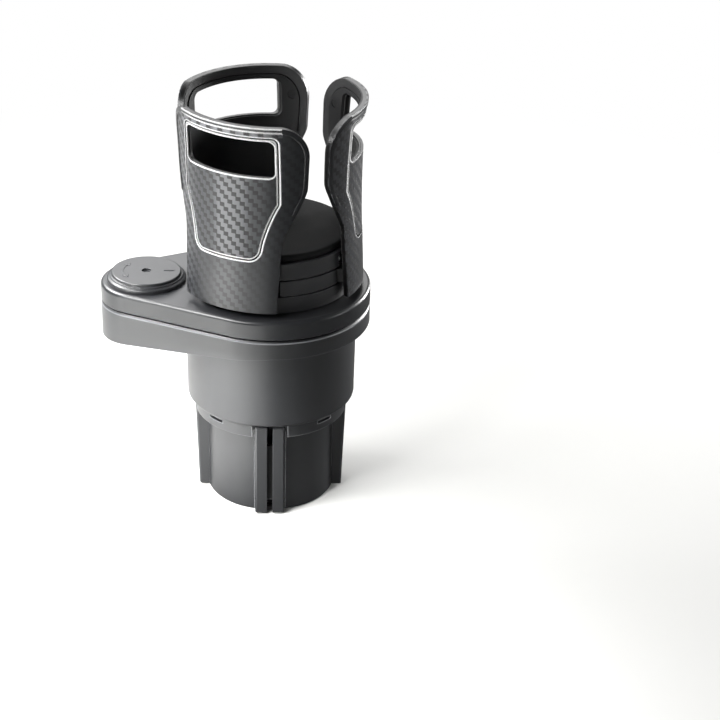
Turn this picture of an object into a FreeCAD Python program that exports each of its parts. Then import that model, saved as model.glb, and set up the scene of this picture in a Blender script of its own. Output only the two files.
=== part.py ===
import os
import math

import FreeCAD
import Part

V = FreeCAD.Vector

# base barrel that drops into the car's own cup holder
barrel_radius = 33.5
barrel_wall = 2.4
barrel_floor = 2.6
barrel_edge = 1.4

# four sprung fins round the barrel
fin_count = 4
fin_width = 15.2
fin_low = 1.2
fin_reach = 4.3
fin_spread = 1.8
fin_travel = 4.2
fin_channel = 3.0
fin_channel_depth = 2.5
fin_flange_width = 20.0
fin_flange = 2.2
fin_wall = 1.9
fin_slack = 0.35

# collar that hangs under the shoulder between the fins
collar_reach = 6.2
collar_height = 8.0
collar_gap = 1.5
snap_half = 4.8
snap_height = 1.7
snap_drop = 2.3
collar_edge = 0.4
screw_inset = 7.5

# lower cup and its pear-shaped plate
shoulder_z = 55.0
cup_radius = 44.2
cup_foot_radius = 43.6
cup_wall = 2.8
cup_floor = 3.4
plate_radius = 51.0
pivot_radius = 23.4
pivot_x = -64.0
plate_low = 97.8
plate_slope = 0.1
plate_top = 107.8
plate_wall = 2.6
plate_skin = 3.0
plate_round = 1.9

# swivelling upper plate
swivel_gap = 0.5
swivel_height = 9.8
cover_thick = 1.8

# pivot hardware
bolt_radius = 3.0
bolt_head_radius = 6.5
bolt_head = 3.2
knob_flange_radius = 20.2
knob_radius = 17.8
knob_height = 4.4
nut_flats = 9.0

# core that carries the three arms
core_radius = 41.0
core_base_height = 8.9
core_mid_height = 8.2
core_cap_height = 9.2
core_seam = 0.4
core_skin = 2.6
core_screw_reach = 34.5
core_screw_radius = 1.9
pad_radius = 39.6
pad_thick = 3.9

# holder arms
arm_count = 3
core_gap = 1.3
arm_wall = 3.2
arm_flare = 3.7
arm_shift = 1.7
arm_lean = 2.3
arm_height = 97.0
arm_straight = 30.5
arm_lift = 1.4
arm_travel = 8.0
edge_angle = 45.0
corner_radius = 16.0
corner_over = 0.15
crown_reach = 5.5
waist_drop = 30.5
neck_rise = 34.0
neck_inset = 6.3
foot_inset = 8.7
window_half = 24.5
window_height = 18.7
window_head = 7.0
window_corner = 3.0
inset_half = 26.4
inset_head = 1.9
inset_corner = 3.2
inset_knee = 57.5
inset_ankle = 33.5
inset_ankle_half = 18.9
inset_low = 27.4
inset_low_half = 12.5
inset_depth = 1.6
groove_width = 0.9
inlay_sink = 0.2
rim_width = 2.2
rim_raise = 0.5
rim_reach = 45.0
liner_inset = 4.0
liner_depth = 0.6
liner_thick = 1.1
tongue_half = 23.3
tongue_end = 19.0
tongue_height = 7.4
tongue_skin = 2.4
stop_reach = 33.0
stop_radius = 2.4
mark_radius = 2.2
mark_turn = 41.6
mark_height = 82.8

# coil springs
spring_radius = 2.3
spring_wire = 0.7
spring_side = 20.5

# general fits
seat = 0.2
fit = 0.3

shoulder_top = shoulder_z + cup_floor
swivel_low = plate_top + swivel_gap
swivel_top = swivel_low + swivel_height
core_low = swivel_top + seat
mid_low = core_low + core_base_height + core_seam
cap_low = mid_low + core_mid_height + core_seam
cap_top = cap_low + core_cap_height
pad_low = cap_top + seat
arm_low = swivel_top + arm_lift
arm_radius = core_radius + core_gap + arm_wall
arm_inner = arm_radius - arm_wall
window_high = arm_height - window_head
window_low = window_high - window_height
arm_top = arm_low + arm_height
tongue_low = mid_low + (core_mid_height - tongue_height) / 2
spring_z = cap_low + core_cap_height / 2
fin_high = shoulder_z - 2.2
fin_foot_radius = barrel_radius + fin_reach
fin_head_radius = fin_foot_radius + fin_spread
collar_radius = barrel_radius + collar_reach
screw_reach = barrel_radius - screw_inset
barrel_top = shoulder_z - seat


def save(name, shape):
    shape.exportStep("parts/" + name + ".step")


def cyl(radius, z0, z1, x=0.0, y=0.0):
    return Part.makeCylinder(radius, z1 - z0, V(x, y, z0))


def rod(radius, x0, x1, y, z):
    return Part.makeCylinder(radius, x1 - x0, V(x0, y, z), V(1, 0, 0))


def box(x0, x1, y0, y1, z0, z1):
    return Part.makeBox(x1 - x0, y1 - y0, z1 - z0, V(x0, y0, z0))


def spun(shape, degrees):
    turned = shape.copy()
    turned.rotate(V(0, 0, 0), V(0, 0, 1), degrees)
    return turned


def joined(first, rest):
    return first.fuse(rest).removeSplitter()


def revolved(points, start=0.0, sweep=360.0):
    wire = Part.makePolygon([V(r, 0, z) for r, z in points + points[:1]])
    solid = Part.Face(wire).revolve(V(0, 0, 0), V(0, 0, 1), sweep)
    return spun(solid, start)


def hexagon(flats, z0, z1, x=0.0, y=0.0):
    reach = flats / math.sqrt(3.0)
    corners = [V(x + reach * math.cos(math.radians(60 * k)), y + reach * math.sin(math.radians(60 * k)), z0)
               for k in range(7)]
    return Part.Face(Part.makePolygon(corners)).extrude(V(0, 0, z1 - z0))


def rounded(shape, radius, wanted):
    edges = [e for e in shape.Edges if wanted(e)]
    return shape.makeFillet(radius, edges)


def bevelled(shape, size, wanted):
    edges = [e for e in shape.Edges if wanted(e)]
    return shape.makeChamfer(size, edges)


def flat_at(z, least=0.0):
    def test(edge):
        box_ = edge.BoundBox
        return abs(box_.ZMin - z) < 0.02 and abs(box_.ZMax - z) < 0.02 and edge.Length > least
    return test


def pear(inset, z0, z1):
    big = plate_radius - inset
    small = pivot_radius - inset
    turn = math.acos((big - small) / -pivot_x)
    nx = -math.cos(turn)
    ny = math.sin(turn)
    upper_big = V(big * nx, big * ny, z0)
    lower_big = V(big * nx, -big * ny, z0)
    upper_small = V(pivot_x + small * nx, small * ny, z0)
    lower_small = V(pivot_x + small * nx, -small * ny, z0)
    wire = Part.Wire([
        Part.Arc(lower_big, V(big, 0, z0), upper_big).toShape(),
        Part.makeLine(upper_big, upper_small),
        Part.Arc(upper_small, V(pivot_x - small, 0, z0), lower_small).toShape(),
        Part.makeLine(lower_small, lower_big),
    ])
    return Part.Face(wire).extrude(V(0, 0, z1 - z0))


def coil(x0, x1, y, z, turns):
    length = x1 - x0
    helix = Part.makeHelix(length / turns, length, spring_radius)
    ring = Part.Wire(Part.makeCircle(spring_wire / 2, V(spring_radius, 0, 0), V(0, 1, 0)))
    spring = Part.Wire(helix).makePipeShell([ring], True, True)
    spring.rotate(V(0, 0, 0), V(0, 1, 0), 90)
    spring.translate(V(x0, y, z))
    return spring


# barrel, fins and the hub behind them

def fin_slot(slack):
    half = fin_width / 2 + slack
    inner = barrel_radius - barrel_wall - fin_travel - fit
    return box(inner, collar_radius + 2, -half, half, fin_low - slack, barrel_top + 1)


def collar():
    ring = cyl(collar_radius, barrel_top - collar_height, barrel_top).cut(
        cyl(barrel_radius - 0.5, barrel_top - collar_height - 1, barrel_top + 1))
    edge = 2 * math.pi * barrel_radius + 3
    ring = rounded(ring, collar_edge, flat_at(barrel_top - collar_height, edge))
    half = fin_width / 2 + collar_gap
    for k in range(fin_count):
        gap = box(barrel_radius - 2, collar_radius + 2, -half, half, 0, barrel_top + 1)
        ring = ring.cut(spun(gap, 360.0 * k / fin_count))
    return ring


def snap_window():
    high = barrel_top - snap_drop
    return box(collar_radius - 3.0, collar_radius + 2, -snap_half, snap_half, high - snap_height, high)


def barrel():
    inner = barrel_radius - barrel_wall
    body = rounded(cyl(barrel_radius, 0, barrel_top), barrel_edge, flat_at(0, 50))
    body = body.cut(cyl(inner, barrel_floor, barrel_top + 1))
    body = joined(body, [collar()])
    for k in range(fin_count):
        turn = 360.0 * k / fin_count
        body = body.cut(spun(fin_slot(fin_slack), turn))
        body = body.cut(spun(snap_window(), turn + 180.0 / fin_count))
    bosses = []
    for k in range(fin_count):
        turn = (k + 0.5) * 360.0 / fin_count
        boss = cyl(3.6, barrel_floor - 0.5, barrel_top, screw_reach)
        web = box(screw_reach, inner + 0.6, -1.0, 1.0, barrel_floor - 0.5, barrel_top)
        post = boss.fuse(web).cut(cyl(1.3, barrel_floor + 8, barrel_top + 1, screw_reach))
        bosses.append(spun(post, turn))
    return joined(body, bosses)


def fin():
    half = fin_width / 2
    flange_front = math.sqrt((barrel_radius - barrel_wall) ** 2 - (fin_flange_width / 2) ** 2) - fit
    back = flange_front - fin_flange
    side = [(back, fin_low), (fin_foot_radius, fin_low), (fin_head_radius, fin_high), (back, fin_high)]
    wire = Part.makePolygon([V(x, -half, z) for x, z in side + side[:1]])
    blade = Part.Face(wire).extrude(V(0, fin_width, 0))
    front = fin_foot_radius - 0.1
    blade = bevelled(blade, 0.8, lambda e: e.BoundBox.XMin > front and e.BoundBox.ZMax > fin_low + 1)
    wing = box(back, flange_front, -fin_flange_width / 2, fin_flange_width / 2,
               barrel_floor + 1.2, fin_high - 2)
    blade = blade.cut(box(0, barrel_radius - barrel_wall, -half - 1, half + 1, 0, barrel_floor + 1.2))
    channel_x = fin_foot_radius - fin_channel_depth
    groove = box(channel_x, fin_head_radius + 1, -fin_channel / 2, fin_channel / 2, -1, fin_high + 1)
    solid = blade.fuse(wing).cut(groove)
    pocket = box(0, channel_x - fin_wall, -half + fin_wall, half - fin_wall, barrel_floor + 2.6, fin_high - 2)
    solid = solid.cut(pocket)
    for low, high in ((3.2, 8.0), (39.8, 50.0)):
        top = min(high, fin_high - 2)
        solid = solid.cut(box(0, fin_head_radius + 1, -fin_channel / 2, fin_channel / 2, low, top))
    peg = rod(1.5, channel_x - fin_wall - 4.0, channel_x - fin_wall + 0.5, 0, (fin_low + fin_high) / 2)
    return joined(solid, [peg])


def fin_spring():
    seat_x = fin_foot_radius - fin_channel_depth - fin_wall - fit
    return coil(15.0 + fit, seat_x - spring_wire, 0, (fin_low + fin_high) / 2, 7)


def fin_hub():
    hub = cyl(15.0, barrel_floor + seat, shoulder_z - seat).cut(cyl(12.6, barrel_floor + 2, shoulder_z + 1))
    foot = cyl(18.5, barrel_floor + seat, barrel_floor + 2.2).cut(cyl(12.6, 0, 9))
    pegs = [spun(rod(1.5, 13.0, 20.5, 0, (fin_low + fin_high) / 2), 360.0 * k / fin_count)
            for k in range(fin_count)]
    return joined(hub, [foot] + pegs)


def base_screws():
    screws = []
    for k in range(fin_count):
        reach = screw_reach
        head = cyl(2.7, shoulder_top - 1.9, shoulder_top - 0.1, reach)
        shank = cyl(1.25, shoulder_z - 22, shoulder_top - 1.5, reach)
        cross = box(reach - 1.6, reach + 1.6, -0.4, 0.4, shoulder_top - 1.0, shoulder_top)
        cross = cross.fuse(box(reach - 0.4, reach + 0.4, -1.6, 1.6, shoulder_top - 1.0, shoulder_top))
        turn = (k + 0.5) * 360.0 / fin_count
        screws.append(spun(head.fuse(shank).cut(cross).removeSplitter(), turn))
    return Part.makeCompound(screws)


# lower cup with its plate

def slope_tool():
    far = plate_radius - pivot_x + pivot_radius
    deep = plate_low - plate_slope * far
    wire = Part.makePolygon([V(far, -99, plate_low), V(0, -99, plate_low), V(-far, -99, deep),
                             V(-far, -99, 40), V(far, -99, 40), V(far, -99, plate_low)])
    return Part.Face(wire).extrude(V(0, 198, 0))


def cup_body():
    plate = rounded(pear(0, plate_low - 12, plate_top), plate_round, flat_at(plate_top))
    hollow = pear(plate_wall, plate_low - 20, plate_top - plate_skin)
    ribs = [box(pivot_x - pivot_radius, -cup_radius + 2, -1, 1, plate_low - 12, plate_top)]
    for x in (pivot_x + 11.0, pivot_x, pivot_x - 11.0):
        ribs.append(box(x - 1, x + 1, -34, 34, plate_low - 12, plate_top - 1))
    for k in range(12):
        rib = box(cup_radius - 2, plate_radius - 1, -0.9, 0.9, plate_low, plate_top - 1)
        ribs.append(spun(rib, 30.0 * k - 75))
    boss = cyl(9.5, plate_low - 2.4, plate_top, pivot_x)
    inside = Part.makeCompound(ribs).common(pear(1.0, plate_low - 12, plate_top - 0.5))
    plate = plate.cut(hollow).fuse([inside, boss]).cut(slope_tool())
    shell = revolved([(0, shoulder_z), (cup_foot_radius, shoulder_z), (cup_radius, plate_top - 1),
                      (0, plate_top - 1)])
    shell = rounded(shell, 1.8, flat_at(shoulder_z, 50))
    body = plate.fuse(shell).removeSplitter()
    bore = cyl(cup_radius - cup_wall, shoulder_top, plate_top + 5)
    body = body.cut(rounded(bore, 2.4, flat_at(shoulder_top, 50)))
    mouth = cup_radius - cup_wall
    body = bevelled(body, 0.8, lambda e: flat_at(plate_top, 50)(e) and abs(e.BoundBox.XMax - mouth) < 0.1)
    body = body.cut(cyl(bolt_radius + 0.08, plate_low - 20, plate_top + 1, pivot_x))
    body = body.cut(cyl(8.2 + fit, plate_top - 0.9, plate_top + 1, pivot_x))
    body = body.cut(cyl(bolt_head_radius + 0.6, plate_low - 20, plate_low - 2.0, pivot_x))
    for k in range(fin_count):
        hole = cyl(1.5, shoulder_z - 1, shoulder_top + 1, screw_reach).fuse(
            cyl(3.0, shoulder_top - 2.1, shoulder_top + 1, screw_reach))
        body = body.cut(spun(hole, (k + 0.5) * 360.0 / fin_count))
    return body


def cup_mat():
    low = shoulder_top + seat
    radius = cup_radius - cup_wall - 2.6
    mat = rounded(cyl(radius, low, low + 2.4), 0.8, flat_at(low + 2.4, 50))
    for reach in (12.0, 21.0, 30.0):
        mat = mat.cut(cyl(reach + 0.8, low + 1.6, low + 3).cut(cyl(reach - 0.8, low + 1, low + 4)))
    return mat


# swivel pivot

def pivot_bolt():
    top = swivel_top + seat + knob_height - 1.9
    head_top = plate_low - 2.0 - seat
    bolt = cyl(bolt_radius, head_top - 1, top, pivot_x)
    head = rounded(cyl(bolt_head_radius, head_top - bolt_head, head_top, pivot_x), 1.2,
                   flat_at(head_top - bolt_head))
    socket = hexagon(5.0, head_top - bolt_head - 1, head_top - 1.4, pivot_x)
    return bevelled(joined(bolt, [head]).cut(socket), 0.5, flat_at(top))


def pivot_washer():
    return cyl(8.2, plate_top - 0.8, swivel_low - seat, pivot_x).cut(
        cyl(bolt_radius + 0.2, plate_top - 2, swivel_low + 1, pivot_x))


def knob():
    low = swivel_top + seat
    top = low + knob_height
    mid = low + 1.7
    profile = [(0, low), (knob_flange_radius, low), (knob_flange_radius, mid), (knob_radius + 0.9, mid + 0.5),
               (knob_radius + 0.9, mid + 1.1), (knob_radius, mid + 1.3), (knob_radius, top), (0, top)]
    body = revolved(profile)
    body = rounded(body, 0.7, lambda e: flat_at(top, 50)(e) or flat_at(mid, 50)(e))
    body = body.cut(hexagon(nut_flats + 0.2, low - 1, low + 2.5))
    body = body.cut(cyl(bolt_radius + 0.3, low - 1, low + 2.7))
    body = body.cut(cyl(2.4, top - 1.1, top + 1))
    body = body.cut(cyl(14.6, low - 1, low + 0.8).cut(cyl(7.6, low - 2, low + 2)))
    body.translate(V(pivot_x, 0, 0))
    return joined(body, knob_marks(top))


def knob_marks(top):
    low = top - 0.2
    high = top + 0.3
    tick = box(pivot_x + 9.0, pivot_x + 14.2, -0.4, 0.4, low, high)
    band = revolved([(11.6, low), (12.5, low), (12.5, high), (11.6, high)], 150.0, 62.0)
    marks = [tick]
    for degrees, way in ((150.0, -1), (212.0, 1)):
        a = math.radians(degrees)
        tip = math.radians(degrees + way * 13)
        wire = Part.makePolygon([V(10.2 * math.cos(a), 10.2 * math.sin(a), low),
                                 V(13.9 * math.cos(a), 13.9 * math.sin(a), low),
                                 V(12.05 * math.cos(tip), 12.05 * math.sin(tip), low),
                                 V(10.2 * math.cos(a), 10.2 * math.sin(a), low)])
        band = band.fuse(Part.Face(wire).extrude(V(0, 0, high - low)))
    band.translate(V(pivot_x, 0, 0))
    marks.append(band)
    return marks


def knob_nut():
    low = swivel_top + seat + 0.1
    nut = hexagon(nut_flats, low, low + 2.3, pivot_x)
    return nut.cut(cyl(bolt_radius + 0.04, low - 1, low + 4, pivot_x))


# swivelling upper plate

def core_posts():
    return [60.0 + 360.0 * k / arm_count for k in range(arm_count)]


def upper_plate():
    body = rounded(pear(0, swivel_low, swivel_top), plate_round, flat_at(swivel_top))
    body = bevelled(body, 0.5, flat_at(swivel_low))
    body = body.cut(pear(plate_wall, swivel_low - 1, swivel_top - plate_skin))
    shelf = swivel_low + cover_thick + seat
    ring = core_radius - 3.5
    ribs = [cyl(ring, shelf, swivel_top - 1).cut(cyl(ring - 2.2, shelf - 1, swivel_top))]
    ribs.append(box(pivot_x, 2.0 - ring, -1, 1, shelf, swivel_top - 1))
    for turn in core_posts():
        ribs.append(spun(cyl(4.2, shelf, swivel_top - 1, core_screw_reach), turn))
        ribs.append(spun(box(core_screw_reach, plate_radius - 1, -1, 1, shelf, swivel_top - 1), turn))
    ribs.append(cyl(9.0, shelf, swivel_top - 1, pivot_x))
    inside = Part.makeCompound(ribs).common(pear(1.2, shelf, swivel_top - 0.5))
    body = joined(body, [inside])
    body = body.cut(cyl(bolt_radius + 0.08, swivel_low - 1, swivel_top + 1, pivot_x))
    for turn in core_posts():
        hole = cyl(core_screw_radius + 0.03, swivel_low + 2.2, swivel_top + 1, core_screw_reach)
        body = body.cut(spun(hole, turn))
    return body


def swivel_cover():
    low = swivel_low
    cover = pear(plate_wall + fit, low, low + cover_thick)
    return cover.cut(cyl(bolt_radius + 0.4, low - 1, low + 9, pivot_x))


# core stack

def core_disc(low, high, radius):
    disc = cyl(radius, low, high)
    return bevelled(disc, 0.4, lambda e: flat_at(low, 50)(e) or flat_at(high, 50)(e))


def core_screw_holes(shape, low, high, radius):
    for turn in core_posts():
        shape = shape.cut(spun(cyl(radius, low, high, core_screw_reach), turn))
    return shape


def core_base():
    high = core_low + core_base_height
    body = core_disc(core_low, high, core_radius)
    body = body.cut(cyl(core_radius - core_skin, core_low - 1, high - core_skin).cut(cyl(10, 0, 200)))
    parts = []
    for turn in core_posts():
        parts.append(spun(cyl(4.4, core_low, high - 1, core_screw_reach), turn))
        parts.append(spun(box(9, core_radius - 1, -1, 1, core_low, high - 1), turn))
    for k in range(arm_count):
        post = cyl(stop_radius, high - 1, tongue_low + tongue_height - tongue_skin - fit + 2.2, stop_reach)
        parts.append(spun(post, 360.0 * k / arm_count))
    return core_screw_holes(joined(body, parts), core_low - 1, high + 1, core_screw_radius + 0.2)


def core_mid():
    high = mid_low + core_mid_height
    body = core_disc(mid_low, high, core_radius)
    half = tongue_half + 1.2
    for k in range(arm_count):
        slot = box(tongue_end - 1.0, core_radius + 5, -half, half, mid_low - 1, high + 1)
        body = body.cut(spun(slot, 360.0 * k / arm_count))
    body = body.cut(cyl(6.0, mid_low - 1, high + 1))
    return core_screw_holes(body, mid_low - 1, high + 1, core_screw_radius + 0.2)


def core_cap():
    body = core_disc(cap_low, cap_top, core_radius)
    for turn in core_posts():
        pocket = revolved([(17, cap_low - 1), (38, cap_low - 1), (38, cap_top - core_skin),
                           (17, cap_top - core_skin)], turn - 13, 26)
        body = body.cut(pocket)
        body = body.fuse(spun(cyl(4.4, cap_low, cap_top - 1, core_screw_reach), turn))
    body = body.removeSplitter()
    for k in range(arm_count):
        for side in (-1, 1):
            room = spring_radius + spring_wire / 2 + 0.5
            bore = rod(room, 24.5, core_radius + 2, side * spring_side, spring_z)
            body = body.cut(spun(bore, 360.0 * k / arm_count))
    body = core_screw_holes(body, cap_low - 1, cap_top + 1, core_screw_radius + 0.2)
    return core_screw_holes(body, cap_top - 2.5, cap_top + 1, 3.7)


def core_pad():
    pad = cyl(pad_radius, pad_low, pad_low + pad_thick)
    return rounded(pad, 1.3, flat_at(pad_low + pad_thick))


def core_screws():
    screws = []
    for turn in core_posts():
        head = cyl(3.4, cap_top - 2.4, cap_top - 0.2, core_screw_reach)
        shank = cyl(core_screw_radius, swivel_low + 3.4, cap_top - 2, core_screw_reach)
        reach = core_screw_reach
        cross = box(reach - 2, reach + 2, -0.45, 0.45, cap_top - 1.3, cap_top)
        cross = cross.fuse(box(reach - 0.45, reach + 0.45, -2, 2, cap_top - 1.3, cap_top))
        screws.append(spun(head.fuse(shank).cut(cross).removeSplitter(), turn))
    return Part.makeCompound(screws)


# arms: built round their own axis on +X, then leaned in, moved out and turned

def arm_reach(offset, h):
    bend = max(h - arm_straight, 0.0) / (arm_height - arm_straight)
    return arm_radius + offset + arm_flare * bend ** 2


def arm_face(offset, low, high):
    if low < arm_straight:
        foot = V(arm_reach(offset, low), 0, low)
        straight = Part.makeLine(foot, V(arm_reach(offset, arm_straight), 0, arm_straight))
        return [straight] + arm_face(offset, arm_straight, high)
    slope = 2 * arm_flare * (low - arm_straight) / (arm_height - arm_straight) ** 2
    middle = arm_reach(offset, low) + slope * (high - low) / 2
    curve = Part.BezierCurve()
    curve.setPoles([V(arm_reach(offset, low), 0, low), V(middle, 0, (low + high) / 2),
                    V(arm_reach(offset, high), 0, high)])
    return [curve.toShape()]


def arm_band(outer, inner, low, high, half_angle=70.0):
    out_edges = arm_face(outer, low, high)
    in_edges = arm_face(inner, low, high)
    top = Part.makeLine(V(arm_reach(outer, high), 0, high), V(arm_reach(inner, high), 0, high))
    foot = Part.makeLine(V(arm_reach(inner, low), 0, low), V(arm_reach(outer, low), 0, low))
    wire = Part.Wire(Part.__sortEdges__(out_edges + [top] + in_edges + [foot]))
    solid = Part.Face(wire).revolve(V(0, 0, 0), V(0, 0, 1), 2 * half_angle)
    return spun(solid, -half_angle)


def edge_curve(top, crown, inset):
    waist = arm_height - waist_drop
    neck = -neck_inset - inset
    start = V(0, crown, waist)
    end = V(0, neck, neck_rise)
    foot = V(0, -foot_inset - inset, -20)
    bends = [V(0, crown + (neck - crown) * side, waist + (neck_rise - waist) * fall)
             for side, fall in ((0.12, 0.18), (0.42, 0.43), (0.79, 0.71))]
    sweep = Part.BSplineCurve()
    leave = (foot - end).normalize()
    sweep.interpolate([start] + bends + [end], InitialTangent=V(0, 0, -1), FinalTangent=leave)
    return [sweep.toShape(), Part.makeLine(end, foot)], start, foot


def edge_tool(side, inset):
    top = arm_height - inset + corner_over
    crown = crown_reach - inset
    radius = corner_radius - inset * 0.6
    turn = crown - radius
    slant = radius * math.sin(math.radians(45))
    sweep, start, foot = edge_curve(top, crown, inset)
    high = arm_height + 40
    a = V(0, turn, high)
    b = V(0, turn, top)
    c = V(0, crown, top - radius)
    corner = Part.Arc(b, V(0, turn + slant, top - radius + slant), c).toShape()
    far = [V(0, 60, -20), V(0, 60, high)]
    wire = Part.Wire([Part.makeLine(a, b), corner, Part.makeLine(c, start)] + sweep
                     + [Part.makeLine(foot, far[0]), Part.makeLine(far[0], far[1]), Part.makeLine(far[1], a)])
    tool = Part.Face(wire).extrude(V(2 * arm_radius, 0, 0))
    tool.translate(V(arm_radius / 2, 0, 0))
    tool.rotate(V(0, 0, 0), V(0, 0, 1), edge_angle)
    if side < 0:
        tool = tool.mirror(V(0, 0, 0), V(0, 1, 0))
    return tool


def trimmed(band, inset):
    return band.cut(edge_tool(1, inset)).cut(edge_tool(-1, inset))


def window_prism(grow):
    half = window_half + grow
    body = box(arm_radius - 25, arm_radius + 25, -half, half, window_low - grow, window_high + grow)
    return rounded(body, window_corner + grow, lambda e: e.Length > 45 and e.BoundBox.XLength > 45)


def bezier(*poles):
    curve = Part.BezierCurve()
    curve.setPoles([V(0, y, z) for y, z in poles])
    return curve.toShape()


def inset_side(shrink):
    half = inset_half - shrink
    ankle = inset_ankle_half - shrink
    foot = inset_low + shrink
    lean = (half - ankle) * 0.45
    drop = (inset_knee - inset_ankle) * 0.28
    corner = inset_ankle - foot
    flank = bezier((half, inset_knee), (half - lean, inset_knee - drop),
                   (ankle + lean / 4, inset_ankle + drop), (ankle, inset_ankle))
    bend = bezier((ankle, inset_ankle), (ankle - lean / 8, inset_ankle - corner / 2),
                  (inset_low_half + corner * 0.6, foot), (inset_low_half, foot))
    return [flank, bend]


def inset_prism(shrink):
    top = window_high + inset_head - shrink
    half = inset_half - shrink
    foot = inset_low + shrink
    side = inset_side(shrink)
    other = [edge.mirror(V(0, 0, 0), V(0, 1, 0)) for edge in side]
    straight = [Part.makeLine(V(0, half, top), V(0, half, inset_knee)),
                Part.makeLine(V(0, -half, top), V(0, -half, inset_knee)),
                Part.makeLine(V(0, -half, top), V(0, half, top)),
                Part.makeLine(V(0, -inset_low_half, foot), V(0, inset_low_half, foot))]
    wire = Part.Wire(Part.__sortEdges__(straight + side + other))
    body = Part.Face(wire).extrude(V(50, 0, 0))
    body.translate(V(arm_radius - 25, 0, 0))
    radius = inset_corner - shrink
    return rounded(body, radius, lambda e: e.BoundBox.XLength > 45 and e.BoundBox.ZMin > window_high)


def arm_shell():
    shell = trimmed(arm_band(0, -arm_wall, 0, arm_height), 0)
    low = arm_height - rim_reach
    rim = trimmed(arm_band(rim_raise, -1.0, low, arm_height), 0)
    rim = rim.cut(trimmed(arm_band(rim_raise + 1, -3, low - 12, arm_height - rim_width), rim_width))
    shell = shell.fuse(rim)
    recess = arm_band(1.0, -inset_depth, inset_low - 8, arm_height - 2).common(inset_prism(0))
    shell = shell.cut(recess)
    shell = shell.cut(window_prism(0))
    hollow = arm_band(-arm_wall + liner_depth, -arm_wall - 3, neck_rise, arm_height - liner_inset)
    return shell.cut(trimmed(hollow, liner_inset)).removeSplitter()


def arm_inlay():
    sheet = arm_band(-inlay_sink, -inset_depth + 0.05, inset_low - 8, arm_height - 2)
    return sheet.common(inset_prism(groove_width)).cut(window_prism(0.15))


def ejector_mark(turn):
    face = arm_reach(-arm_wall + liner_depth - 0.05 - liner_thick, mark_height)
    return spun(rod(mark_radius, face - 4, face + 0.3, 0, mark_height), turn)


def arm_liner():
    face = -arm_wall + liner_depth - 0.05
    sheet = arm_band(face, face - liner_thick, neck_rise + 0.2, arm_height - liner_inset - 0.2)
    sheet = trimmed(sheet, liner_inset + 0.2).cut(window_prism(0.5))
    for turn in (-mark_turn, mark_turn):
        sheet = sheet.cut(ejector_mark(turn))
    return sheet


def placed(shape, k):
    moved = shape.copy()
    moved.rotate(V(0, 0, 0), V(0, 1, 0), -arm_lean)
    moved.translate(V(arm_shift, 0, arm_low))
    return spun(moved, 360.0 * k / arm_count)


def wall_plug(shape, depth, low, high):
    face = cyl(arm_inner + depth, low, high)
    face.translate(V(arm_shift, 0, 0))
    return shape.common(face)


def tongue():
    outer = arm_shift + arm_inner + 2
    high = tongue_low + tongue_height
    body = box(tongue_end, outer, -tongue_half, tongue_half, tongue_low, high)
    body = body.cut(box(tongue_end + 2, outer + 1, -tongue_half + 2.2, tongue_half - 2.2, tongue_low - 1,
                        high - tongue_skin))
    body = wall_plug(body, 1.2, tongue_low - 2, high + 2)
    reach = stop_radius + fit
    slot = box(stop_reach - arm_travel, stop_reach, -reach, reach, 0, high + 5)
    slot = slot.fuse([cyl(reach, 0, high + 5, stop_reach), cyl(reach, 0, high + 5, stop_reach - arm_travel)])
    return body.cut(slot)


def spring_seat():
    edge = spring_side + spring_radius + spring_wire
    return arm_shift + math.sqrt(arm_inner ** 2 - edge ** 2)


def spring_pegs():
    pegs = []
    seat_x = spring_seat()
    boss_radius = spring_radius + spring_wire / 2 + 0.1
    for side in (-1, 1):
        boss = rod(boss_radius, seat_x, seat_x + 12, side * spring_side, spring_z)
        pegs.append(wall_plug(boss, 2.0, spring_z - 5, spring_z + 5))
        pegs.append(rod(1.4, seat_x - 2.2, seat_x + 1.0, side * spring_side, spring_z))
    return pegs


def arm(k):
    shell = arm_shell()
    body = placed(shell, 0)
    body = joined(body, [tongue()] + spring_pegs())
    return spun(body, 360.0 * k / arm_count)


def arm_springs(k):
    end = spring_seat() - spring_wire / 2 - 0.05
    coils = [coil(24.9, end, side * spring_side, spring_z, 6) for side in (-1, 1)]
    return spun(Part.makeCompound(coils), 360.0 * k / arm_count)


def build_base():
    save("barrel", barrel())
    blade = fin()
    spring = fin_spring()
    for k in range(fin_count):
        save("fin_%d" % (k + 1), spun(blade, 360.0 * k / fin_count))
        save("fin_spring_%d" % (k + 1), spun(spring, 360.0 * k / fin_count))
    save("fin_hub", fin_hub())
    save("base_screws", base_screws())
    save("cup_body", cup_body())
    save("cup_mat", cup_mat())


def build_pivot():
    save("pivot_bolt", pivot_bolt())
    save("pivot_washer", pivot_washer())
    save("knob", knob())
    save("knob_nut", knob_nut())
    save("upper_plate", upper_plate())
    save("swivel_cover", swivel_cover())


def build_holder():
    save("core_base", core_base())
    save("core_mid", core_mid())
    save("core_cap", core_cap())
    save("core_pad", core_pad())
    save("core_screws", core_screws())
    inlay = arm_inlay()
    liner = arm_liner()
    for k in range(arm_count):
        save("arm_%d" % (k + 1), arm(k))
        save("arm_inlay_%d" % (k + 1), placed(inlay, k))
        save("arm_liner_%d" % (k + 1), placed(liner, k))
        save("arm_springs_%d" % (k + 1), arm_springs(k))


os.makedirs("parts", exist_ok=True)
build_base()
build_pivot()
build_holder()
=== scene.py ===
import math

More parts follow.
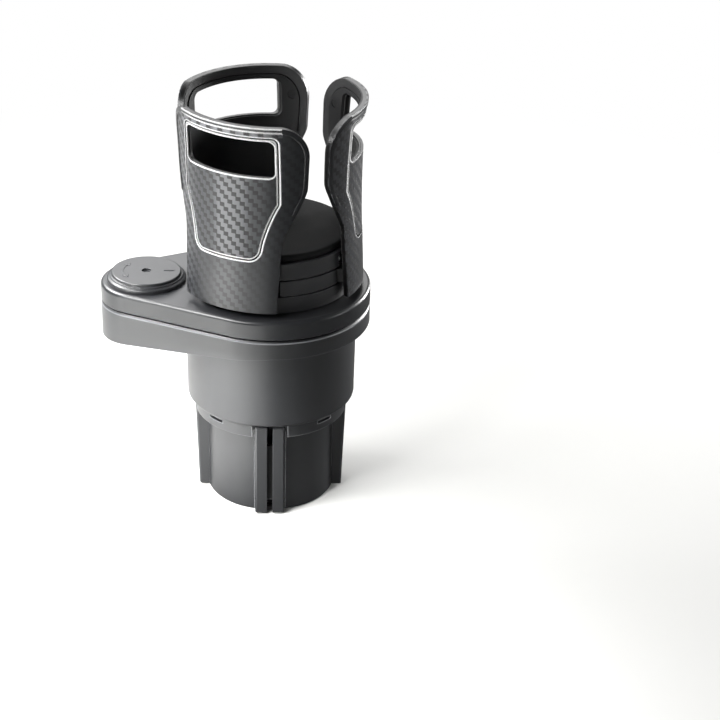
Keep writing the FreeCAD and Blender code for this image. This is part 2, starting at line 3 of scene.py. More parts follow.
import bmesh
import bpy
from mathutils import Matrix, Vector


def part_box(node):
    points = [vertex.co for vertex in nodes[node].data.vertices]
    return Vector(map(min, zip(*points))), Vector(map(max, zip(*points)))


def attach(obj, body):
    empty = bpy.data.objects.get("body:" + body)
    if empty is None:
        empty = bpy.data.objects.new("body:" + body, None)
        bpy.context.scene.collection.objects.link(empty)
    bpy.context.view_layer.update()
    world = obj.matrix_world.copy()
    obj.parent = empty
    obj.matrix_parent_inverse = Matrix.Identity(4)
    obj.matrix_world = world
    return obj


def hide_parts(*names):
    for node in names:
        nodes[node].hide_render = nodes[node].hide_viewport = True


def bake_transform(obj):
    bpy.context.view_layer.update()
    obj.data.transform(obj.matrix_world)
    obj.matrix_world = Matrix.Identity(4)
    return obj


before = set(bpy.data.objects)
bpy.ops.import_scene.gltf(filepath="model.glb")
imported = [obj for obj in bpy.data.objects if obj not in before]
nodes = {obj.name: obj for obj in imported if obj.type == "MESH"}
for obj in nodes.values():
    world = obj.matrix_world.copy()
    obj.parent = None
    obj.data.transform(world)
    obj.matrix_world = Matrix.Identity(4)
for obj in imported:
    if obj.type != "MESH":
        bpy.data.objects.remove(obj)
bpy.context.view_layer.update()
mm = 0.001
print("frame loaded:", len(nodes), "CAD pieces")


def colour(code):  # sRGB hex to linear RGBA
    steps = [int(code[i:i + 2], 16) / 255 for i in (1, 3, 5)]
    return [s / 12.92 if s <= 0.04045 else ((s + 0.055) / 1.055) ** 2.4 for s in steps] + [1.0]


def addNode(tree, kind, inputs=None, **settings):
    node = tree.nodes.new(kind)
    for name, value in settings.items():
        setattr(node, name, value)
    for key, value in (inputs or {}).items():
        if isinstance(value, bpy.types.NodeSocket):
            tree.links.new(value, node.inputs[key])
        else:
            node.inputs[key].default_value = value
    return node


def startMaterial(name):
    material = bpy.data.materials.new(name)
    material.use_nodes = True
    tree = material.node_tree
    tree.nodes.clear()
    shader = addNode(tree, "ShaderNodeBsdfPrincipled")
    addNode(tree, "ShaderNodeOutputMaterial", {"Surface": shader.outputs["BSDF"]})
    place = addNode(tree, "ShaderNodeTexCoord").outputs["Object"]
    return material, tree, shader, place


def dress(material, *names):
    for name in names:
        slots = nodes[name].data.materials
        slots.clear()
        slots.append(material)


# camera, where the photographer stood: 1.1 m off, looking down about 27 degrees, rolled a little

camera = {
    "place": (0.01098, -0.93353, 0.55349),
    "turn": (62.730, -1.390, -1.472),
    "lens": 100.0,
    "sensor": 36.0,
    "nearest": 0.05,
    "farthest": 50,
}

eye = bpy.data.objects.new("camera", bpy.data.cameras.new("camera"))
bpy.context.scene.collection.objects.link(eye)
eye.location = camera["place"]
eye.rotation_euler = [math.radians(a) for a in camera["turn"]]
eye.data.lens = camera["lens"]
eye.data.sensor_width = camera["sensor"]
eye.data.clip_start = camera["nearest"]
eye.data.clip_end = camera["farthest"]
bpy.context.scene.camera = eye
bpy.context.scene.view_settings.view_transform = "Standard"
print("camera set")


def paintedEdgeGlint(tree, look):  # painted highlight: how pale a sharp edge is painted, as if it caught a glint, from 0 to the given strength
    wide = addNode(tree, "ShaderNodeBevel", {"Radius": look["wearWidth"] * mm}, samples=6)
    face = addNode(tree, "ShaderNodeNewGeometry").outputs["Normal"]
    facing = addNode(tree, "ShaderNodeVectorMath", {0: wide.outputs["Normal"], 1: face},
                     operation="DOT_PRODUCT")
    rubbed = addNode(tree, "ShaderNodeMapRange", {"Value": facing.outputs["Value"],
                                                  "From Min": look["wearFrom"],
                                                  "From Max": look["wearTo"], "To Max": look["wear"]})
    return rubbed.outputs["Result"]


# black ABS from a spark-eroded tool: an even satin skin whose fine pebble breaks up each highlight

def mouldedSkin(look):
    material, tree, shader, place = startMaterial(look["name"])
    grain = addNode(tree, "ShaderNodeTexNoise", {"Vector": place, "Scale": 1 / (look["grain"] * mm),
                                                 "Detail": 3.0, "Roughness": 0.62})
    cloud = addNode(tree, "ShaderNodeTexNoise", {"Vector": place, "Scale": 1 / (look["cloud"] * mm),
                                                 "Detail": 2.0})
    tone = addNode(tree, "ShaderNodeMix", {"Factor": cloud.outputs["Fac"], "A": colour(look["dark"]),
                                           "B": colour(look["pale"])}, data_type="RGBA")
    # painted highlight: sharp edges are painted a paler tone
    if "wear" in look:
        tone = addNode(tree, "ShaderNodeMix", {"Factor": paintedEdgeGlint(tree, look), "A": tone.outputs["Result"],
                                               "B": colour(look["paintedGlint"])}, data_type="RGBA")
    if "lip" in look:  # painted highlight: a pale line painted just under the fixed plate's top edge, where the swivelling plate runs over it, standing in for light on that rounded edge
        xyz = addNode(tree, "ShaderNodeSeparateXYZ", {0: place})
        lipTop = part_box("cup_body")[1][2] - look["lip"] * mm
        lipGlint = addNode(tree, "ShaderNodeMath", {0: xyz.outputs["Z"], 1: lipTop,
                                                     2: look["lipHalf"] * mm}, operation="COMPARE")
        tone = addNode(tree, "ShaderNodeMix", {"Factor": lipGlint.outputs[0], "A": tone.outputs["Result"],
                                               "B": colour(look["lipTone"])}, data_type="RGBA")
    if "channel" in look:  # painted shade: each fin's channel is painted near black where shade falls in it; the fins stand by quarters, so one channel mask is folded on all four
        xyz = addNode(tree, "ShaderNodeSeparateXYZ", {0: place})
        alongX = addNode(tree, "ShaderNodeMath", {0: xyz.outputs["X"]}, operation="ABSOLUTE")
        alongY = addNode(tree, "ShaderNodeMath", {0: xyz.outputs["Y"]}, operation="ABSOLUTE")
        pair = {0: alongX.outputs[0], 1: alongY.outputs[0]}
        aside = addNode(tree, "ShaderNodeMath", pair, operation="MINIMUM")
        forward = addNode(tree, "ShaderNodeMath", pair, operation="MAXIMUM")
        narrow = addNode(tree, "ShaderNodeMath", {0: aside.outputs[0], 1: look["channel"] * mm},
                         operation="LESS_THAN")
        deep = addNode(tree, "ShaderNodeMath", {0: forward.outputs[0], 1: look["channelFront"] * mm},
                       operation="LESS_THAN")
        sunk = addNode(tree, "ShaderNodeMath", {0: narrow.outputs[0], 1: deep.outputs[0]},
                       operation="MULTIPLY")
        tone = addNode(tree, "ShaderNodeMix", {"Factor": sunk.outputs[0], "A": tone.outputs["Result"],
                                               "B": colour(look["dust"])}, data_type="RGBA")
    shine = addNode(tree, "ShaderNodeMapRange", {"Value": cloud.outputs["Fac"],
                                                 "From Min": look["cloudFrom"], "From Max": look["cloudTo"],
                                                 "To Min": look["rough"] - look["uneven"],
                                                 "To Max": look["rough"] + look["uneven"]})
    if "channel" in look:
        shine = addNode(tree, "ShaderNodeMix", {"Factor": sunk.outputs[0], "A": shine.outputs["Result"],
                                                "B": look["dustRough"]})
    edge = addNode(tree, "ShaderNodeBevel", {"Radius": look["edge"] * mm}, samples=4)
    bump = addNode(tree, "ShaderNodeBump", {"Height": grain.outputs["Fac"], "Strength": look["relief"],
                                            "Distance": look["grain"] * look["pebble"] * mm,
                                            "Normal": edge.outputs["Normal"]})
    tree.links.new(tone.outputs["Result"], shader.inputs["Base Color"])
    tree.links.new(shine.outputs["Result"], shader.inputs["Roughness"])
    tree.links.new(bump.outputs["Normal"], shader.inputs["Normal"])
    shader.inputs["IOR"].default_value = look["ior"]
    shader.inputs["Specular IOR Level"].default_value = look["specular"]
    return material


# lengths are in mm: grain and cloud are the sizes of the pebble and of the uneven patches in the skin

moulding = {"uneven": 0.03, "pebble": 0.12, "cloudFrom": 0.3, "cloudTo": 0.7}
# painted highlight: the moulded parts' sharp edges get a paler tone, palest on the barrel
body = dict(moulding, dark="#222325", pale="#28292b", rough=0.40, grain=0.6, relief=0.4, cloud=30.0,
            edge=0.4, ior=1.53, specular=0.7, wear=0.5, wearWidth=0.8, wearFrom=0.97, wearTo=0.88,
            paintedGlint="#4c4d50")
barrelLook = dict(body, name="ABS black barrel", wear=1.0, wearWidth=0.7, wearFrom=0.99, wearTo=0.93,
                  paintedGlint="#8e8f92")
# painted highlight: the cup gets a pale line under its top edge
cupLook = dict(body, name="ABS black lower cup", lip=1.35, lipHalf=0.35, lipTone="#67686b")
plates = dict(body, name="ABS black plate satin", rough=0.32, relief=0.2, grain=0.45, specular=0.52)
coreLook = dict(body, name="ABS black core", dark="#252628", pale="#2b2c2e", rough=0.46, edge=0.3)
# painted shade: the fins' channels are painted near black
fins = dict(body, name="ABS black fin", channel=1.62, channelFront=37.3, dust="#0a0a0b", dustRough=0.9)

dress(mouldedSkin(barrelLook), "barrel", "fin_hub")
dress(mouldedSkin(cupLook), "cup_body")
dress(mouldedSkin(fins), "fin_1", "fin_2", "fin_3", "fin_4")
dress(mouldedSkin(plates), "upper_plate", "swivel_cover", "knob")
dress(mouldedSkin(coreLook), "core_base", "core_mid", "core_cap")
print("moulded parts dressed")


# arm shells: ABS with a 2/1 twill look eroded into the mould, every third crossing dark, under a satin skin

settingOf = {
    "Math": "operation",
    "VectorMath": "operation",
    "VectorRotate": "rotation_type",
    "MapRange": "interpolation_type",
    "Mix": "data_type",
    "Bevel": "samples",
}


def twillAbs(look):
    material, tree, shader, place = startMaterial(look["name"])
    rad = math.radians

    # a row is a name, a kind of node, its setting and what goes in: a value, or the name of an earlier row

    rows = [
        # the three arms are one moulding turned by thirds, so the angle is folded into one arm's own frame
        ("inMm", "VectorMath", "SCALE", {0: "place", "Scale": 1 / mm}),
        ("at", "SeparateXYZ", None, ["inMm"]),
        ("angle", "Math", "ARCTAN2", ["atY", "atX"]),
        ("folded", "Math", "WRAP", ["angle", rad(60), rad(-60)]),
        ("flat", "VectorMath", "MULTIPLY", ["inMm", (1, 1, 0)]),
        ("out", "VectorMath", "LENGTH", ["flat"]),
        ("cosine", "Math", "COSINE", ["folded"]),
        ("sine", "Math", "SINE", ["folded"]),
        ("forward", "Math", "MULTIPLY", ["out", "cosine"]),
        ("ownX", "Math", "SUBTRACT", ["forward", look["shift"]]),
        ("ownY", "Math", "MULTIPLY", ["out", "sine"]),
        ("ownZ", "Math", "SUBTRACT", ["atZ", look["low"]]),
        ("own", "CombineXYZ", None, ["ownX", "ownY", "ownZ"]),
        ("upright", "VectorRotate", "Y_AXIS", {"Vector": "own", "Angle": rad(look["lean"])}),
        ("arm", "SeparateXYZ", None, ["upright"]),
        ("turn", "Math", "ARCTAN2", ["armY", "armX"]),
        ("side", "Math", "ABSOLUTE", ["armY"]),

        # proud: how far the point stands outside the panel's own flared surface
        ("xSquare", "Math", "MULTIPLY", ["armX", "armX"]),
        ("ySquare", "Math", "MULTIPLY", ["armY", "armY"]),
        ("squares", "Math", "ADD", ["xSquare", "ySquare"]),
        ("radius", "Math", "SQRT", ["squares"]),
        ("above", "Math", "SUBTRACT", ["armZ", look["straight"]]),
        ("curved", "Math", "MAXIMUM", ["above", 0.0]),
        ("bend", "Math", "DIVIDE", ["curved", look["height"] - look["straight"]]),
        ("bendSquare", "Math", "MULTIPLY", ["bend", "bend"]),
        ("flared", "Math", "MULTIPLY", ["bendSquare", look["flare"]]),
        ("surface", "Math", "ADD", ["flared", look["radius"]]),
        ("proud", "Math", "SUBTRACT", ["radius", "surface"]),
        ("rim", "Math", "GREATER_THAN", ["proud", look["rimFrom"]]),
        ("notRim", "Math", "SUBTRACT", [1.0, "rim"]),
        ("outer", "Math", "GREATER_THAN", ["proud", look["grooveTop"]]),
        ("printed", "Math", "MULTIPLY", ["outer", "notRim"]),
        ("inside", "Math", "LESS_THAN", ["proud", look["grooveFloor"]]),
        ("belowSkin", "Math", "LESS_THAN", ["proud", look["grooveTop"]]),
        ("aboveFloor", "Math", "GREATER_THAN", ["proud", look["grooveFloor"]]),
        ("groove", "Math", "MULTIPLY", ["belowSkin", "aboveFloor"]),

        # painted light: the weave is faded towards the foot, except at its left, and round the right side,
        # where under this light a broad highlight and shade hide it
        ("footBand", "MapRange", "SMOOTHSTEP", {"Value": "armZ", "From Min": look["footFrom"],
                                                "From Max": look["footTo"]}),
        ("leftPart", "MapRange", "SMOOTHSTEP", {"Value": "turn", "From Min": rad(look["fadeFrom"]),
                                                "From Max": rad(look["fadeTo"]), "To Min": 1.0,
                                                "To Max": look["fadeLeast"]}),
        ("rightPart", "MapRange", "SMOOTHSTEP", {"Value": "turn", "From Min": rad(look["rightFrom"]),
                                                 "From Max": rad(look["rightTo"]), "To Min": 1.0,
                                                 "To Max": look["rightLeast"]}),
        ("footOrLeft", "Math", "MAXIMUM", ["footBand", "leftPart"]),
        ("kept", "Math", "MULTIPLY", ["footOrLeft", "rightPart"]),
        ("woven", "Math", "MULTIPLY", ["printed", "kept"]),

        # tows: every third cell along a line is dark weft, drawn a little wider than the warp's cells
        ("across", "Math", "MULTIPLY", ["turn", look["radius"] / look["towWide"]]),
        ("along", "Math", "MULTIPLY", ["armZ", 1 / look["towTall"]]),
        ("line", "Math", "FLOOR", ["along"]),
        ("before", "Math", "ADD", ["across", -look["spread"]]),
        ("beforeCell", "Math", "FLOOR", ["before"]),
        ("beforeSum", "Math", "ADD", ["beforeCell", "line"]),
        ("beforeStep", "Math", "WRAP", ["beforeSum", look["repeat"], 0.0]),
        ("after", "Math", "ADD", ["across", look["spread"]]),
        ("afterCell", "Math", "FLOOR", ["after"]),
        ("afterSum", "Math", "ADD", ["afterCell", "line"]),
        ("afterStep", "Math", "WRAP", ["afterSum", look["repeat"], 0.0]),
        ("least", "Math", "MINIMUM", ["beforeStep", "afterStep"]),
        ("warp", "Math", "GREATER_THAN", ["least", 0.5]),
        ("acrossPart", "Math", "FRACT", ["across"]),
        ("acrossAngle", "Math", "MULTIPLY", ["acrossPart", math.pi]),
        ("acrossCrown", "Math", "SINE", ["acrossAngle"]),
        ("alongPart", "Math", "FRACT", ["along"]),
        ("alongAngle", "Math", "MULTIPLY", ["alongPart", math.pi]),
        ("alongCrown", "Math", "SINE", ["alongAngle"]),
        ("tow", "Mix", "FLOAT", {"Factor": "warp", "A": "alongCrown", "B": "acrossCrown"}),
        ("cloud", "TexNoise", None, {"Vector": "place", "Scale": 1 / (look["cloud"] * mm), "Detail": 2.0}),
        ("grain", "TexNoise", None, {"Vector": "place", "Scale": 1 / (look["grain"] * mm), "Detail": 3.0}),
        ("blotch", "TexNoise", None, {"Vector": "place", "Scale": 1 / (look["blotch"] * mm), "Detail": 1.0}),

        # painted highlight, strongest on the arm in front: pale patches on its top and pale lines along its
        # panel's edges
        ("towardsUser", "Math", "MULTIPLY", ["atY", -1.0]),
        ("front", "Math", "DIVIDE", ["towardsUser", "out"]),
        ("handled", "MapRange", "LINEAR", {"Value": "front", "From Min": look["handledFrom"],
                                           "From Max": look["handledTo"], "To Min": look["wearRear"],
                                           "To Max": 1.0}),
        ("crownHigh", "MapRange", "SMOOTHSTEP", {"Value": "armZ", "From Min": look["crownFrom"],
                                                 "From Max": look["crownTo"]}),
        ("nearMiddle", "Math", "LESS_THAN", ["side", look["wearHalf"]]),
        ("handledMiddle", "Math", "MULTIPLY", ["handled", "nearMiddle"]),
        ("crownPanel", "Math", "MULTIPLY", ["crownHigh", "handledMiddle"]),
        ("patchy", "MapRange", "LINEAR", {"Value": "blotch", "From Min": look["blotchFrom"],
                                          "From Max": look["blotchTo"], "To Min": look["blotchLeast"],
                                          "To Max": 1.0}),
        ("crown", "Math", "MULTIPLY", ["crownPanel", "patchy"]),
        ("rise", "Math", "MULTIPLY", ["armZ", look["wearRise"]]),
        ("widening", "Math", "ADD", ["rise", look["wearFoot"]]),
        ("panelHalf", "Math", "MINIMUM", ["widening", look["wearHalf"]]),
        ("nearSide", "Math", "LESS_THAN", ["side", "panelHalf"]),
        ("nearTop", "Math", "GREATER_THAN", ["armZ", look["wearLow"]]),
        ("nearPanel", "Math", "MULTIPLY", ["nearSide", "nearTop"]),
        ("nearSkin", "Math", "GREATER_THAN", ["proud", look["wearDeep"]]),
        ("panelEdge", "Math", "MULTIPLY", ["nearPanel", "nearSkin"]),
        ("panelGlint", "Math", "MULTIPLY", ["rubbed", "panelEdge"]),
        ("paintedGlint", "Math", "MULTIPLY", ["panelGlint", "handled"]),

        # painted highlight: upright bands where the warp is paler and the weft darker
        ("fromBand", "MapRange", "SMOOTHSTEP", {"Value": "turn", "From Min": rad(look["bandFrom"]),
                                                "From Max": rad(look["bandFrom"] + look["bandSoft"])}),
        ("toBand", "MapRange", "SMOOTHSTEP", {"Value": "turn", "From Min": rad(look["bandTo"]),
                                              "From Max": rad(look["bandTo"] - look["bandSoft"])}),
        ("leftBand", "MapRange", "SMOOTHSTEP", {"Value": "turn", "From Min": rad(look["leftFrom"]),
                                                "From Max": rad(look["leftTo"]),
                                                "To Max": look["leftMost"]}),
        ("middleBand", "Math", "MULTIPLY", ["fromBand", "toBand"]),
        ("crownBand", "Math", "MULTIPLY", ["crown", "toBand"]),
        ("crownOrLeft", "Math", "MAXIMUM", ["crownBand", "leftBand"]),
        ("band", "Math", "MAXIMUM", ["middleBand", "crownOrLeft"]),

        # tone
        ("warpBand", "Mix", "RGBA", {"Factor": "band", "A": colour(look["pale"]),
                                     "B": colour(look["palest"])}),
        ("warpTone", "Mix", "RGBA", {"Factor": "crown", "A": "warpBand", "B": colour(look["crownTone"])}),
        ("weftTone", "Mix", "RGBA", {"Factor": "band", "A": colour(look["dark"]),
                                     "B": colour(look["darkest"])}),
        ("weave", "Mix", "RGBA", {"Factor": "warp", "A": "weftTone", "B": "warpTone"}),
        ("plain", "Mix", "RGBA", {"Factor": "inside", "A": colour(look["plain"]),
                                  "B": colour(look["inner"])}),
        ("bare", "Mix", "RGBA", {"Factor": "groove", "A": "plain", "B": colour(look["grooveTone"])}),
        ("skin", "Mix", "RGBA", {"Factor": "woven", "A": "bare", "B": "weave"}),
        ("tone", "Mix", "RGBA", {"Factor": "paintedGlint", "A": "skin", "B": colour(look["paintedGlint"])}),

        # shine
        ("gloss", "MapRange", "LINEAR", {"Value": "warp", "To Min": look["weftRough"],
                                         "To Max": look["warpRough"]}),
        ("bareRough", "MapRange", "LINEAR", {"Value": "inside", "To Min": look["plainRough"],
                                             "To Max": look["innerRough"]}),
        ("satin", "Mix", "FLOAT", {"Factor": "woven", "A": "bareRough", "B": "gloss"}),
        ("haze", "Math", "MULTIPLY", ["cloud", look["uneven"]]),
        ("shine", "Math", "ADD", ["satin", "haze"]),

        # relief
        ("pebble", "Math", "MULTIPLY", ["grain", look["pebble"]]),
        ("height", "Mix", "FLOAT", {"Factor": "woven", "A": "pebble", "B": "tow"}),
        ("edge", "Bevel", 4, {"Radius": look["edge"] * mm}),
        ("bump", "Bump", None, {"Height": "height", "Strength": look["relief"],
                                "Distance": look["towWide"] * look["proudOfTow"] * mm, "Normal": "edge"}),
    ]

    # a row's name stands for its first output, and the name with X, Y or Z added for that one

    known = {"place": place, "rubbed": paintedEdgeGlint(tree, look)}
    for name, kind, setting, inputs in rows:
        pairs = inputs.items() if isinstance(inputs, dict) else enumerate(inputs)
        ready = {key: known[value] if isinstance(value, str) else value for key, value in pairs}
        settings = {settingOf[kind]: setting} if setting else {}
        node = addNode(tree, "ShaderNode" + kind, ready, **settings)
        for socket in reversed([s for s in node.outputs if s.enabled]):
            known[name] = known[name + socket.name] = socket
    tree.links.new(known["tone"], shader.inputs["Base Color"])
    tree.links.new(known["shine"], shader.inputs["Roughness"])
    tree.links.new(known["bump"], shader.inputs["Normal"])
    shader.inputs["IOR"].default_value = look["ior"]
    shader.inputs["Specular IOR Level"].default_value = look["specular"]
    return material


twill = {
    "name": "ABS twill moulded",
    "ior": 1.53,
    "specular": 0.45,

    # the panel's surface in the arm's own frame: mm, and degrees of lean
    "radius": 45.5,
    "flare": 3.7,
    "height": 97.0,
    "straight": 30.5,
    "shift": 1.7,
    "lean": 2.3,
    "low": 119.5,

    # where rim, groove and inner side begin, mm proud of that surface
    "rimFrom": 0.25,
    "grooveTop": -0.6,
    "grooveFloor": -2.4,

    # tones; palest and darkest paint the highlight bands, the crown tone paints highlight patches on the top,
    # and the last paints highlight lines along the panel's edges
    "dark": "#111213",
    "darkest": "#0a0a0b",
    "pale": "#2e2f32",
    "palest": "#4c4d50",
    "plain": "#1d1e20",
    "inner": "#1f1f20",
    "grooveTone": "#060606",
    "crownTone": "#6c6d70",
    "paintedGlint": "#ececec",

    # tows, mm, and how they shine and stand up
    "towWide": 2.15,
    "towTall": 2.15,
    "repeat": 3.0,
    "spread": 0.12,
    "warpRough": 0.28,
    "weftRough": 0.42,
    "plainRough": 0.3,
    "innerRough": 0.55,
    "uneven": 0.05,
    "cloud": 18.0,
    "grain": 0.4,
    "pebble": 0.6,
    "relief": 0.3,
    "proudOfTow": 0.05,
    "edge": 0.6,

    # painted light, where the weave fades as a highlight and shade would hide it: up to a height in mm, and
    # round the arm in degrees
    "footFrom": 25.0,
    "footTo": 30.0,
    "fadeFrom": -32.0,
    "fadeTo": -8.0,
    "fadeLeast": 0.25,
    "rightFrom": 20.0,
    "rightTo": 30.0,
    "rightLeast": 0.3,

    # painted highlight bands, degrees round the arm
    "bandFrom": -10.0,
    "bandTo": 19.0,
    "bandSoft": 8.0,
    "leftFrom": -22.0,
    "leftTo": -30.0,
    "leftMost": 0.15,

    # painted highlight, strongest on the arm in front: the patches on the top and the lines along the panel's
    # edges, mm
    "handledFrom": 0.3,
    "handledTo": 0.6,
    "wearRear": 0.06,
    "crownFrom": 86.0,
    "crownTo": 88.0,
    "blotch": 5.0,
    "blotchFrom": 0.4,
    "blotchTo": 0.6,
    "blotchLeast": 0.25,
    "wear": 1.0,
    "wearWidth": 1.3,
    "wearFrom": 0.99,
    "wearTo": 0.96,
    "wearDeep": -1.2,
    "wearLow": 22.0,
    "wearHalf": 28.2,
    "wearFoot": 10.4,
    "wearRise": 0.3125,
}

twillShell = twillAbs(twill)
for k in (1, 2, 3):
    dress(twillShell, "arm_%d" % k, "arm_inlay_%d" % k)
print("arms dressed")


# TPE liners and mat: soft rubber from a coarsely eroded tool, matt, its pebble catches specks of light

rubber = dict(moulding, name="TPE rubber matt", dark="#0e0e0f", pale="#1b1b1c", rough=0.6, grain=0.6,
              relief=0.8, cloud=2.2, edge=0.3, ior=1.5, specular=0.35)
dress(mouldedSkin(rubber), "arm_liner_1", "arm_liner_2", "arm_liner_3", "cup_mat")
print("rubber dressed")


# core pad: a disc cut from closed-cell EVA foam sheet, dull, with fine pores and a soft heat-rounded edge

pad = dict(moulding, name="EVA foam", dark="#0f0f10", pale="#161617", rough=0.72, grain=0.7, relief=0.9,
           cloud=14.0, edge=0.3, ior=1.45, specular=0.25)
pad.update({
    "crown": 0.35,
    "round": 1.5,
    "footRound": 0.5,
    "rings": 22,
    "around": 120,
    "waver": 0.12,
    "waves": 3,
    "drift": 40,
})


def foamPad(look):
    low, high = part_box("core_pad")
    middle = [(low[i] + high[i]) / 2 for i in (0, 1)]
    reach = (high[0] - low[0]) / 2
    corner = look["round"] * mm
    foot = corner * look["footRound"]
    top = high[2] - look["crown"] * mm
    profile = [(0.0, high[2])]  # radius and height, from the middle of the top to the middle of the foot
    for i in range(1, look["rings"]):
        r = (reach - corner) * i / (look["rings"] - 1)
        profile.append((r, top + look["crown"] * mm * (1 - (r / (reach - corner)) ** 2)))
    for degrees in (22.5, 45.0, 67.5, 90.0):
        a = math.radians(degrees)
        profile.append((reach - corner + corner * math.sin(a), top - corner + corner * math.cos(a)))
    for degrees in (0.0, 30.0, 60.0, 90.0):
        a = math.radians(degrees)
        profile.append((reach - foot + foot * math.cos(a), low[2] + foot - foot * math.sin(a)))
    profile.append((0.0, low[2]))
    shape = bmesh.new()
    loops = []
    for r, z in profile[1:-1]:
        loop = []
        for j in range(look["around"]):
            a = 2 * math.pi * j / look["around"]
            wave = math.sin(look["waves"] * a + look["drift"] * r)
            swell = look["waver"] * mm * wave * (r / reach) * (1 if z > top - corner else 0)
            x = middle[0] + r * math.cos(a)
            y = middle[1] + r * math.sin(a)
            loop.append(shape.verts.new((x, y, z + swell)))
        loops.append(loop)
    for one, two in zip(loops, loops[1:]):
        for j in range(look["around"]):
            k = (j + 1) % look["around"]
            shape.faces.new((one[j], two[j], two[k], one[k]))
    for loop, z, order in ((loops[0], profile[0][1], 1), (loops[-1], profile[-1][1], -1)):
        hub = shape.verts.new((middle[0], middle[1], z))
        for j in range(look["around"]):
            k = (j + 1) % look["around"]
            shape.faces.new((hub, loop[j], loop[k])[::order])
    bmesh.ops.recalc_face_normals(shape, faces=shape.faces)
    mesh = bpy.data.meshes.new("foam_pad")
    shape.to_mesh(mesh)
    mesh.shade_smooth()
    piece = bpy.data.objects.new("foam_pad", mesh)
    bpy.context.scene.collection.objects.link(piece)
    piece.data.materials.append(mouldedSkin(look))
    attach(piece, "holder")
    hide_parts("core_pad")


foamPad(pad)
print("foam pad made")


# zinc-plated steel: cool grey, brushed by the header and a little dulled

def zincSteel(look):
    material, tree, shader, place = startMaterial(look["name"])
    haze = addNode(tree, "ShaderNodeTexNoise", {"Vector": place, "Scale": 1 / (look["grain"] * mm),
                                                "Detail": 4.0})
    tone = addNode(tree, "ShaderNodeMix", {"Factor": haze.outputs["Fac"], "A": colour(look["dark"]),
                                           "B": colour(look["pale"])}, data_type="RGBA")
    shine = addNode(tree, "ShaderNodeMapRange", {"Value": haze.outputs["Fac"],
                                                 "To Min": look["rough"] - look["uneven"],
                                                 "To Max": look["rough"] + look["uneven"]})
    tree.links.new(tone.outputs["Result"], shader.inputs["Base Color"])
    tree.links.new(shine.outputs["Result"], shader.inputs["Roughness"])
    shader.inputs["Metallic"].default_value = 1.0
    return material


zinc = {"name": "steel zinc plated", "dark": "#9a9ea2", "pale": "#b9bcbe", "rough": 0.34, "uneven": 0.08,
        "grain": 1.2}
dress(zincSteel(zinc), "pivot_bolt", "pivot_washer", "knob_nut", "base_screws", "core_screws", "fin_spring_1",
      "fin_spring_2", "fin_spring_3", "fin_spring_4", "arm_springs_1", "arm_springs_2", "arm_springs_3")

# each coil is redrawn from its solid, and the solid is hidden

coils = {
    "fin_spring": {"fixed": "base", "moving": "fin", "count": 4, "slot": "steel"},
    "arm_springs": {"fixed": "holder", "moving": "arm", "count": 3, "slot": "steel"},
}

for coil, look in coils.items():
    for k in range(look["count"]):
        solid = "%s_%d" % (coil, k + 1)
        piece = bpy.data.objects.new(solid + "_wire", nodes[solid].data.copy())
        bpy.context.scene.collection.objects.link(piece)
        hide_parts(solid)
        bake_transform(piece)
print("metal dressed")


# studio: pale paper that is lost in white far off, big softboxes behind the object and to its right, and
# small lamps close over the floor at its left, whose bright pools the black plastic mirrors

studio = {
    "paper": "#d8d8d6",
    # painted shade: the dark tone that the floor's right half shows in reflections
    "flag": "#202020",
    "flagFrom": -0.09,
    "flagTo": 0.02,
    "farFrom": 0.3,
    "farTo": 0.6,
    "halfSheet": 4.0,
    "squares": 8,
    "rough": 0.9,
    "specular": 0.2,
    "roomTowards": (0.0, 1.0, 0.15),
    "roomFrom": 0.17,
    "roomPale": 0.15,
    "aim": (0.0, 0.0, 0.1),
}

big = (0.7, 0.6)
tall = (0.35, 0.42)
small = (0.12, 0.12)
tiny = (0.06, 0.06)
softboxes = {
    "backLeft": {"place": (-0.53, 0.53, 0.75), "size": big, "watts": 7.0},
    "behind": {"place": (0.0, 1.0, 0.75), "size": big, "watts": 4.0},
    "backRight": {"place": (0.766, 0.643, 0.22), "size": tall, "watts": 16.0},
    "right": {"place": (0.94, -0.17, 0.22), "size": tall, "watts": 1.5},
    "poolFront": {"place": (-0.17, -0.10, 0.26), "size": small, "watts": 1.15, "aim": (-0.17, -0.10, 0.0)},
    "poolSide": {"place": (-0.20, 0.06, 0.26), "size": small, "watts": 1.3, "aim": (-0.20, 0.06, 0.0)},
    "poolFar": {"place": (-0.36, -0.25, 0.15), "size": small, "watts": 3.6, "aim": (-0.36, -0.25, 0.0)},
    "poolNear": {"place": (0.0, -0.42, 0.15), "size": small, "watts": 0.75, "aim": (0.0, -0.42, 0.0)},
    "poolFoot": {"place": (-0.06, -0.09, 0.10), "size": tiny, "watts": 0.3, "aim": (-0.06, -0.09, 0.0)},
    "edges": {"place": (-0.45, -0.6, 0.8), "size": (0.15, 0.15), "watts": 3.0},
}


def softbox(name, box):
    lamp = bpy.data.lights.new(name, "AREA")
    lamp.shape = "RECTANGLE"
    lamp.size, lamp.size_y = box["size"]
    lamp.energy = box["watts"]
    stand = bpy.data.objects.new(name, lamp)
    bpy.context.scene.collection.objects.link(stand)
    stand.location = box["place"]
    aim = box.get("aim", studio["aim"])
    stand.rotation_euler = (Vector(aim) - Vector(box["place"])).to_track_quat("-Z", "Y").to_euler()
    stand.visible_camera = False


for name, box in softboxes.items():
    softbox(name, box)

sheet = bmesh.new()
bmesh.ops.create_grid(sheet, x_segments=studio["squares"], y_segments=studio["squares"],
                      size=studio["halfSheet"])
paperMesh = bpy.data.meshes.new("paper")
sheet.to_mesh(paperMesh)
paper = bpy.data.objects.new("paper", paperMesh)
bpy.context.scene.collection.objects.link(paper)
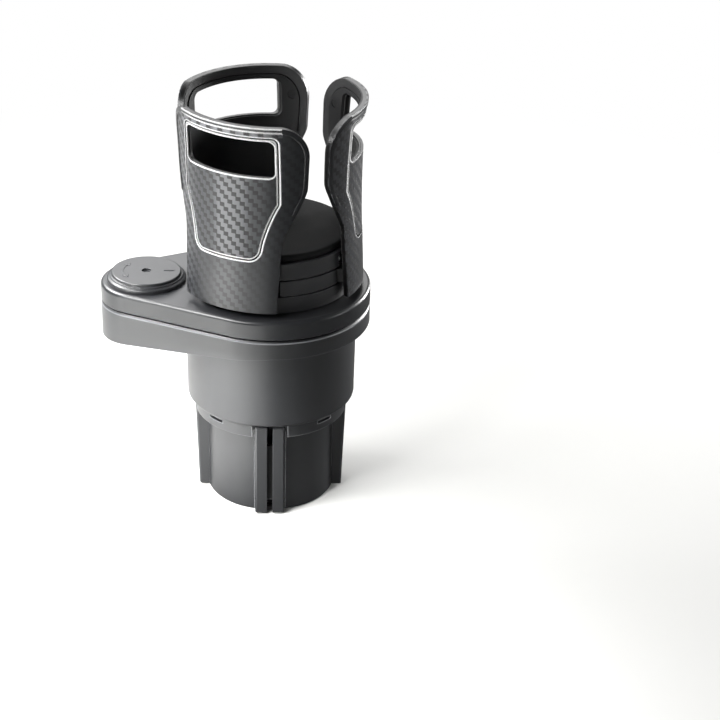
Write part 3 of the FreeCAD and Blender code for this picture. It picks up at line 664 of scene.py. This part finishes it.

# painted shade: only reflections see a dark right half of the floor; only the camera sees the white far off

paperLook, tree, shader, place = startMaterial("studio paper")
shader.inputs["Roughness"].default_value = studio["rough"]
shader.inputs["Specular IOR Level"].default_value = studio["specular"]
rays = addNode(tree, "ShaderNodeLightPath")
across = addNode(tree, "ShaderNodeSeparateXYZ", {0: place})
reflectedShadeSide = addNode(tree, "ShaderNodeMapRange", {"Value": across.outputs["X"], "From Min": studio["flagFrom"],
                                                "From Max": studio["flagTo"]},
                   interpolation_type="SMOOTHSTEP")
reflectedShadeSeen = addNode(tree, "ShaderNodeMath", {0: rays.outputs["Is Glossy Ray"], 1: reflectedShadeSide.outputs["Result"]},
                   operation="MULTIPLY")
sheetTone = addNode(tree, "ShaderNodeMix", {"Factor": reflectedShadeSeen.outputs[0], "A": colour(studio["paper"]),
                                            "B": colour(studio["flag"])}, data_type="RGBA")
tree.links.new(sheetTone.outputs["Result"], shader.inputs["Base Color"])
reach = addNode(tree, "ShaderNodeVectorMath", {0: place}, operation="LENGTH")
far = addNode(tree, "ShaderNodeMapRange", {"Value": reach.outputs["Value"], "From Min": studio["farFrom"],
                                           "From Max": studio["farTo"]}, interpolation_type="SMOOTHSTEP")
seenFar = addNode(tree, "ShaderNodeMath", {0: rays.outputs["Is Camera Ray"], 1: far.outputs["Result"]},
                  operation="MULTIPLY")
white = addNode(tree, "ShaderNodeEmission", {"Color": (1, 1, 1, 1), "Strength": 1.0})
both = addNode(tree, "ShaderNodeMixShader", {0: seenFar.outputs[0], 1: shader.outputs["BSDF"],
                                             2: white.outputs["Emission"]})
ending = next(n for n in tree.nodes if n.bl_idname == "ShaderNodeOutputMaterial")
tree.links.new(both.outputs[0], ending.inputs["Surface"])
paper.data.materials.append(paperLook)

world = bpy.data.worlds.new("room")
bpy.context.scene.world = world
world.use_nodes = True
tree = world.node_tree
tree.nodes.clear()
rays = addNode(tree, "ShaderNodeLightPath")
way = addNode(tree, "ShaderNodeTexCoord").outputs["Generated"]
towards = addNode(tree, "ShaderNodeVectorMath", {0: way, 1: studio["roomTowards"]}, operation="DOT_PRODUCT")
wall = addNode(tree, "ShaderNodeMapRange", {"Value": towards.outputs["Value"], "From Min": studio["roomFrom"],
                                            "To Max": studio["roomPale"]})
strength = addNode(tree, "ShaderNodeMath", {0: rays.outputs["Is Camera Ray"], 1: wall.outputs["Result"]},
                   operation="MAXIMUM")
sky = addNode(tree, "ShaderNodeBackground", {"Color": (1, 1, 1, 1), "Strength": strength.outputs[0]})
addNode(tree, "ShaderNodeOutputWorld", {"Surface": sky.outputs[0]})
print("studio set")
